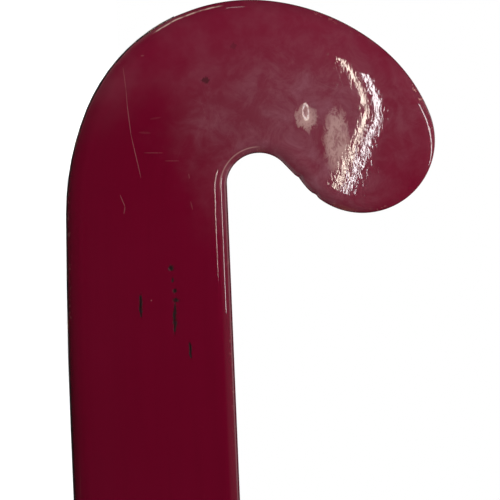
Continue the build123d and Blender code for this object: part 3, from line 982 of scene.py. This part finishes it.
def bracket_black():
    """Black stove enamel over steel, knocked off at the corners and round the holes."""
    enamel = Finish("black_bracket_steel")
    x, y, z = enamel.axes()
    peel = enamel.noise(enamel.place, 520, 2, 0.5)
    patch = enamel.noise(enamel.place, 60, 4, 0.7)
    fine = enamel.noise(enamel.place, 480, 4, 0.75)
    bar_off = 1.0
    for bar in BARS:
        bar_off = enamel.math("MINIMUM", (x - bar_places[bar]).absolute(), bar_off)
    edge = bar_off.above(0.0084, 0.0097)
    chip = (patch + edge * 0.13 + (fine - 0.5) * 0.16).above(0.655, 0.675)
    rusty = fine.above(0.48, 0.60) * chip
    colour = enamel.mix(patch, (0.010, 0.010, 0.011), (0.024, 0.024, 0.025))
    colour = enamel.mix(chip, colour, (0.33, 0.32, 0.31))
    colour = enamel.mix(rusty, colour, (0.160, 0.056, 0.020))
    return enamel.surface(
        Base_Color=colour,
        Metallic=(chip - rusty).clamped() * 0.95,
        Roughness=0.30 + patch * 0.22 + chip * 0.1,
        Normal=enamel.bump(peel * 0.30 - chip * 0.8, 0.00018),
    )


def zinc_plate():
    """Zinc plating gone cloudy, with its spangle and a little white bloom."""
    zinc = Finish("zinc_plated_steel")
    cells = {"Vector": zinc.place, "Scale": 260.0}
    spangle = zinc.node("ShaderNodeTexVoronoi", inputs=cells)
    facet = zinc.node("ShaderNodeTexVoronoi", inputs=cells, output="Color")
    tone = zinc.node("ShaderNodeSeparateXYZ", inputs={0: facet})
    cloud = zinc.noise(zinc.place, 45, 4, 0.65)
    bloom = zinc.noise(zinc.place, 150, 4, 0.7).above(0.56, 0.72) * cloud.above(0.42, 0.6)
    colour = zinc.mix(tone * 0.6, (0.40, 0.42, 0.44), (0.64, 0.66, 0.67))
    colour = zinc.mix(cloud.above(0.35, 0.7) * 0.45, colour, (0.36, 0.35, 0.31))
    colour = zinc.mix(bloom * 0.7, colour, (0.66, 0.66, 0.63))
    return zinc.surface(
        Base_Color=colour,
        Metallic=1 - bloom * 0.7,
        Roughness=0.26 + tone * 0.14 + bloom * 0.35,
        Normal=zinc.bump(spangle * 0.3 + cloud * 0.3, 0.00010),
    )


def dress(nodes, material):
    """Gives CAD nodes a finish."""
    for name in nodes:
        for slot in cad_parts[name].material_slots:
            slot.material = material


# ---- screws -----------------------------------------------------------------------------


def screw_recipe():
    """A node tree that drives a slotted countersunk screw in at every point.

    Each point's drive attribute is the way its head faces. The slots stop at random turns.
    """
    tree = bpy.data.node_groups.new("slotted_screws", "GeometryNodeTree")
    face = tree.interface
    face.new_socket("Places", in_out="INPUT", socket_type="NodeSocketGeometry")
    for name in ("Shank", "Head", "Length", "Slot Width", "Slot Depth"):
        face.new_socket(name, in_out="INPUT", socket_type="NodeSocketFloat")
    face.new_socket("Seed", in_out="INPUT", socket_type="NodeSocketInt")
    face.new_socket("Finish", in_out="INPUT", socket_type="NodeSocketMaterial")
    face.new_socket("Screws", in_out="OUTPUT", socket_type="NodeSocketGeometry")
    recipe = Recipe(tree)
    given = recipe.node("NodeGroupInput").socket.node.outputs
    size = {name: Value(recipe, given[name]) for name in given.keys() if name}
    shank, head, length = size["Shank"], size["Head"], size["Length"]
    rim = head * 0.035
    cone = (head - shank) / 2
    point = shank * 1.4

    def turned(bottom, top, depth, z, sides=28):
        inputs = {
            "Vertices": sides,
            "Radius Top": top,
            "Radius Bottom": bottom,
            "Depth": depth,
        }
        part = recipe.node("GeometryNodeMeshCone", {"fill_type": "NGON"}, inputs)
        offset = recipe.node("ShaderNodeCombineXYZ", inputs={2: z})
        return recipe.node("GeometryNodeTransform", inputs={0: part, "Translation": offset})

    chamfer = turned(head / 2, head / 2 - rim, rim, 0 - rim)
    neck = turned(shank / 2, head / 2, cone, 0 - rim - cone)
    stem_length = length - cone - rim - point
    stem = turned(shank / 2, shank / 2, stem_length, 0 - length + point, 14)
    tip = turned(shank * 0.06, shank / 2, point, 0 - length, 14)

    slot_size = recipe.node(
        "ShaderNodeCombineXYZ",
        inputs={0: head * 1.2, 1: size["Slot Width"], 2: size["Slot Depth"] * 2},
    )
    slot = recipe.node("GeometryNodeMeshCube", inputs={"Size": slot_size})
    joined = recipe.node("GeometryNodeMeshBoolean", {"operation": "UNION", "solver": "EXACT"})
    for part in (chamfer, neck):
        tree.links.new(part.socket, joined.socket.node.inputs["Mesh 2"])
    cut = recipe.node(
        "GeometryNodeMeshBoolean",
        {"operation": "DIFFERENCE", "solver": "EXACT"},
        {"Mesh 1": joined, "Mesh 2": slot},
    )
    whole = recipe.node("GeometryNodeJoinGeometry", inputs={0: cut})
    for part in (stem, tip):
        tree.links.new(part.socket, whole.socket.node.inputs[0])

    drive = recipe.node(
        "GeometryNodeInputNamedAttribute", {"data_type": "FLOAT_VECTOR"}, {"Name": "drive"}
    )
    facing = recipe.node("FunctionNodeAlignRotationToVector", {"axis": "Z"}, {"Vector": drive})
    turn = recipe.node(
        "FunctionNodeRandomValue",
        {"data_type": "FLOAT"},
        {2: 0.0, 3: 2 * pi, "Seed": size["Seed"]},
        output=1,
    )
    spin = recipe.node("ShaderNodeCombineXYZ", inputs={2: turn})
    rotation = recipe.node(
        "FunctionNodeRotateRotation",
        {"rotation_space": "LOCAL"},
        {"Rotation": facing, "Rotate By": spin},
    )
    instances = recipe.node(
        "GeometryNodeInstanceOnPoints",
        inputs={"Points": size["Places"], "Instance": whole, "Rotation": rotation},
    )
    real = recipe.node("GeometryNodeRealizeInstances", inputs={0: instances})
    finished = recipe.node(
        "GeometryNodeSetMaterial", inputs={"Geometry": real, "Material": size["Finish"]}
    )
    recipe.node("NodeGroupOutput", inputs={0: finished})
    return tree


def drive_screws(name, tree, places, size, seed, nodes):
    """Screws of one size at these (point, direction) places, as one piece."""
    mesh = bpy.data.meshes.new(name)
    mesh.from_pydata([point for point, _ in places], [], [])
    drive = mesh.attributes.new("drive", "FLOAT_VECTOR", "POINT")
    drive.data.foreach_set("vector", [c for _, direction in places for c in direction])
    points = new_object(f"{name}_places", mesh)
    modifier = points.modifiers.new("screws", "NODES")
    modifier.node_group = tree
    values = {
        "Shank": size[0],
        "Head": size[1],
        "Length": size[2],
        "Slot Width": SLOT_SIZE,
        "Slot Depth": SLOT_SIZE,
        "Seed": seed,
        "Finish": finishes["screw_steel"],
    }
    for item in tree.interface.items_tree:
        if item.name in values:
            modifier[item.identifier] = values[item.name]
    bpy.context.view_layer.update()
    evaluated = points.evaluated_get(bpy.context.evaluated_depsgraph_get())
    made = bpy.data.meshes.new_from_object(evaluated)
    points.modifiers.remove(modifier)
    bpy.data.objects.remove(points)
    made.shade_smooth()
    made.set_sharp_from_angle(angle=radians(30))
    screws = new_object(name, made)
    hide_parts(*nodes)
    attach(screws, SLED)


def deck_screw_places():
    """Inner slats are screwed to the crossbars, outer ones into the runners beside them."""
    places = []
    for bar in BARS:
        for i in range(2, 7):
            places.append(((bar_places[bar], slat_places[i], DECK_Z), (0, 0, 1)))
        for side in SIDES.values():
            for step in (-OUTER_SCREW_STEP, OUTER_SCREW_STEP):
                places.append(((bar_places[bar] + step, side * RUNNER_Y, DECK_Z), (0, 0, 1)))
    return places


def bracket_screw_places():
    """Two screws into the runner and two up into the crossbar at each bracket."""
    places = []
    for bar in BARS:
        for hand, side in SIDES.items():
            low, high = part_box(f"bracket_{bar}_{hand}")
            inner = min(abs(low.y), abs(high.y))
            outer = max(abs(low.y), abs(high.y))
            for reach in BRACKET_HOLES:
                upright = (bar_places[bar], side * (outer - BRACKET_PLATE), high.z - reach)
                places.append((upright, (0, -side, 0)))
                flat = (bar_places[bar], side * (outer - reach), high.z - BRACKET_PLATE)
                places.append((flat, (0, 0, -1)))
    return places


def shoe_screw_places(hand):
    """Seven screws spaced evenly along the shoe and square to it."""
    side = SIDES[hand]
    outer, stops, _, _, _ = runner_edges()
    start = stops[2] - radians(SHOE_TAIL_TURN) * TAIL_RADIUS
    end = stops[5] + radians(SHOE_NOSE_TURN) * HORN_ARCS[2][0]
    first = start + SHOE_END_GAP
    last = end - SHOE_END_GAP
    lengths = np.linspace(first, last, SHOE_SCREW_COUNT)
    points, normals = outer(lengths)
    heads = points - normals * SHOE_PROUD
    return [
        ((px, side * RUNNER_Y, pz), (-nx, 0, -nz))
        for (px, pz), (nx, nz) in zip(heads.tolist(), normals.tolist())
    ]


# ---- the toboggan -----------------------------------------------------------------------

make_camera()
make_lights()
make_world()
make_floor()

lacquer = burgundy_lacquer()
for hand in SIDES:
    make_runner(hand, lacquer)

finishes = {
    "slat_ash": varnished_ash("slat_ash", "X"),
    "crossbar_ash": varnished_ash("crossbar_ash", "Y"),
    "dark_wedge_wood": wedge_wood(),
    "shoe_steel": shoe_steel(),
    "screw_steel": screw_steel(),
    "black_bracket_steel": bracket_black(),
    "zinc_plated_steel": zinc_plate(),
}
dress([f"slat_{number}" for number in slat_places], finishes["slat_ash"])
dress([f"crossbar_{bar}" for bar in BARS], finishes["crossbar_ash"])
dress([f"tenon_wedges_{bar}" for bar in BARS], finishes["dark_wedge_wood"])
dress(["eye_nuts", "eye_washers"], finishes["zinc_plated_steel"])
for hand in SIDES:
    dress([f"shoe_{hand}"], finishes["shoe_steel"])
    dress([f"bracket_{bar}_{hand}" for bar in BARS], finishes["black_bracket_steel"])
    dress([f"tow_eye_{hand}", f"tow_ring_{hand}"], finishes["zinc_plated_steel"])

screw_tree = screw_recipe()
nodes = [f"slat_screws_{bar}" for bar in BARS]
drive_screws("deck_screws", screw_tree, deck_screw_places(), DECK_SCREW, 3, nodes)
nodes = [f"bracket_screws_{bar}" for bar in BARS]
drive_screws("bracket_screws", screw_tree, bracket_screw_places(), BRACKET_SCREW, 8, nodes)
for hand in SIDES:
    nodes = [f"shoe_screws_{hand}"]
    places = shoe_screw_places(hand)
    drive_screws(f"shoe_screws_{hand}_slotted", screw_tree, places, SHOE_SCREW, 5, nodes)

bpy.context.scene.view_settings.view_transform = "Standard"
bpy.context.view_layer.update()
